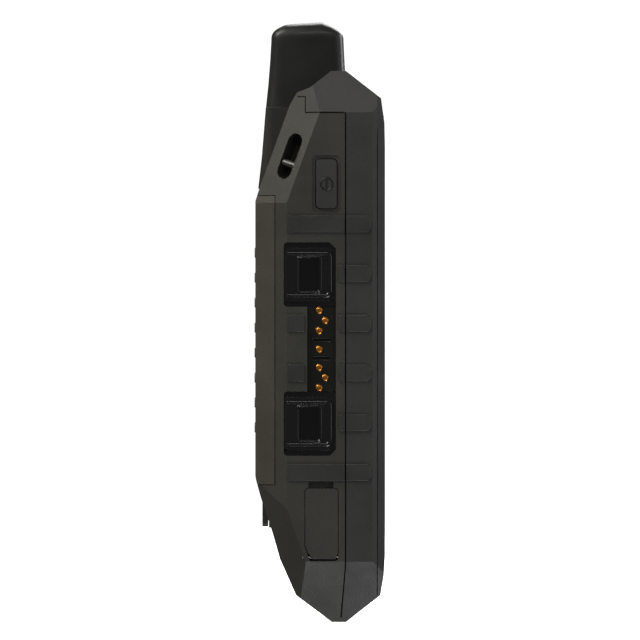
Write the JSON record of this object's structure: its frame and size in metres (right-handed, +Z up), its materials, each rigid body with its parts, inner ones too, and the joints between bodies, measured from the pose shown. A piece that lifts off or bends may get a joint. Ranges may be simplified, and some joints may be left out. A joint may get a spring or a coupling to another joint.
{
  "type": "handheld gps unit",
  "caption": "Rugged upright handheld satellite navigation unit with stub antenna, side latch sockets, sealed port cover, keypad and D-ring battery door.",
  "frame": {"origin": "middle of the lowest edge of the upright unit, centred in width and depth", "axes": "+Z up towards the antenna, -Y out of the screen, +Y out of the battery door, -X towards the latch sockets"},
  "size_m": [0.074, 0.0384, 0.178],
  "materials": {
    "front_plastic": "fine moulded grain, satin",
    "rear_plastic": "fine moulded grain, matt",
    "seal_rubber": "matt silicone",
    "steel": "plain passivated steel",
    "grip_rubber": "matt, fine grain",
    "screen_glass": "hardened cover glass",
    "display": "display stack, off",
    "key_rubber": "matt moulded key",
    "alloy": "die-cast plate",
    "board": "solder mask",
    "tin_can": "tinned shield can",
    "black_plastic": "matt moulded",
    "gloss_black": "polished moulded",
    "gold": "gold plate",
    "cover_rubber": "matt, soft edge",
    "orange_plastic": "moulded",
    "clear_lens": "clear window",
    "led": "phosphor in clear resin",
    "antenna_plastic": "satin moulded",
    "ceramic": "antenna former",
    "battery": "shrunk sleeve",
    "latch_metal": "dark coated"
  },
  "bodies": {
    "unit": {"front_bezel": "front_plastic", "front_housing": "front_plastic", "rear_housing": "rear_plastic", "housing_seal": "seal_rubber", "housing_screws": "steel", "side_grips": "grip_rubber", "screen_glass": "screen_glass", "display_module": "display", "keypad_mat": "seal_rubber", "chassis_plate": "alloy", "main_board": "board", "satellite_module": "tin_can", "speaker": "black_plastic", "power_switch": "board", "upper_socket": "gloss_black", "lower_socket": "gloss_black", "contact_strip": "black_plastic", "side_contacts": "gold", "usb_receptacle": "steel", "usb_cover_pin": "steel", "emergency_switch": "board", "emergency_flap_pin": "steel", "torch_lens": "clear_lens", "torch_led": "led", "lanyard_bar": "steel", "antenna_base": "antenna_plastic", "antenna_radome": "antenna_plastic", "antenna_element": "ceramic", "battery_pack": "battery", "battery_contacts": "gold", "door_seal": "seal_rubber"},
    "key_page": {"key_page": "key_rubber"},
    "key_mark": {"key_mark": "key_rubber"},
    "key_back": {"key_back": "key_rubber"},
    "key_menu": {"key_menu": "key_rubber"},
    "enter_key": {"enter_key": "key_rubber"},
    "power_key": {"power_key": "key_rubber"},
    "emergency_key": {"emergency_key": "orange_plastic"},
    "pad_rocker": {"pad_rocker": "steel"},
    "direction_pad": {"direction_pad": "key_rubber"},
    "usb_cover": {"usb_cover": "cover_rubber"},
    "emergency_flap": {"emergency_flap": "cover_rubber"},
    "battery_door": {"battery_door": "rear_plastic"},
    "latch_knob": {"latch_knob": "latch_metal", "latch_ring_pin": "steel"},
    "latch_ring": {"latch_ring": "latch_metal"}
  },
  "joints": [
    {"name": "key_page_press", "type": "slide", "parent": "unit", "child": "key_page", "axis": [0, 1, 0], "range_m": [0, 0.0006], "stiffness_N_per_m": 300},
    {"name": "key_mark_press", "type": "slide", "parent": "unit", "child": "key_mark", "axis": [0, 1, 0], "range_m": [0, 0.0006], "stiffness_N_per_m": 300},
    {"name": "key_back_press", "type": "slide", "parent": "unit", "child": "key_back", "axis": [0, 1, 0], "range_m": [0, 0.0006], "stiffness_N_per_m": 300},
    {"name": "key_menu_press", "type": "slide", "parent": "unit", "child": "key_menu", "axis": [0, 1, 0], "range_m": [0, 0.0006], "stiffness_N_per_m": 300},
    {"name": "enter_key_press", "type": "slide", "parent": "unit", "child": "enter_key", "axis": [0, 1, 0], "range_m": [0, 0.0006], "stiffness_N_per_m": 300},
    {"name": "power_key_press", "type": "slide", "parent": "unit", "child": "power_key", "axis": [1, 0, 0], "range_m": [0, 0.0005], "stiffness_N_per_m": 400},
    {"name": "emergency_key_press", "type": "slide", "parent": "unit", "child": "emergency_key", "axis": [-1, 0, 0], "range_m": [0, 0.0005], "stiffness_N_per_m": 400},
    {"name": "pad_tilt_up_down", "type": "hinge", "parent": "unit", "child": "pad_rocker", "pos_m": [0, -0.0142, 0.035], "axis": [1, 0, 0], "range_deg": [-2.5, 2.5], "stiffness_Nm_per_rad": 0.2},
    {"name": "pad_tilt_left_right", "type": "hinge", "parent": "pad_rocker", "child": "direction_pad", "pos_m": [0, -0.01455, 0.035], "axis": [0, 0, 1], "range_deg": [-2.5, 2.5], "stiffness_Nm_per_rad": 0.2},
    {"name": "usb_cover_hinge", "type": "hinge", "parent": "unit", "child": "usb_cover", "pos_m": [-0.03575, -0.0006, 0.01925], "axis": [0, -1, 0], "range_deg": [0, 90]},
    {"name": "emergency_flap_hinge", "type": "hinge", "parent": "unit", "child": "emergency_flap", "pos_m": [0.03575, -0.0008, 0.09735], "axis": [0, 1, 0], "range_deg": [0, 90]},
    {"name": "battery_door_hinge", "type": "hinge", "parent": "unit", "child": "battery_door", "pos_m": [0, 0.01845, 0.1255], "axis": [1, 0, 0], "range_deg": [0, 35]},
    {"name": "latch_turn", "type": "hinge", "parent": "battery_door", "child": "latch_knob", "pos_m": [0, 0.0136, 0.0318], "axis": [0, 1, 0], "range_deg": [-90, 0]},
    {"name": "ring_fold", "type": "hinge", "parent": "latch_knob", "child": "latch_ring", "pos_m": [0, 0.0161, 0.0353], "axis": [1, 0, 0], "range_deg": [0, 90]}
  ]
}
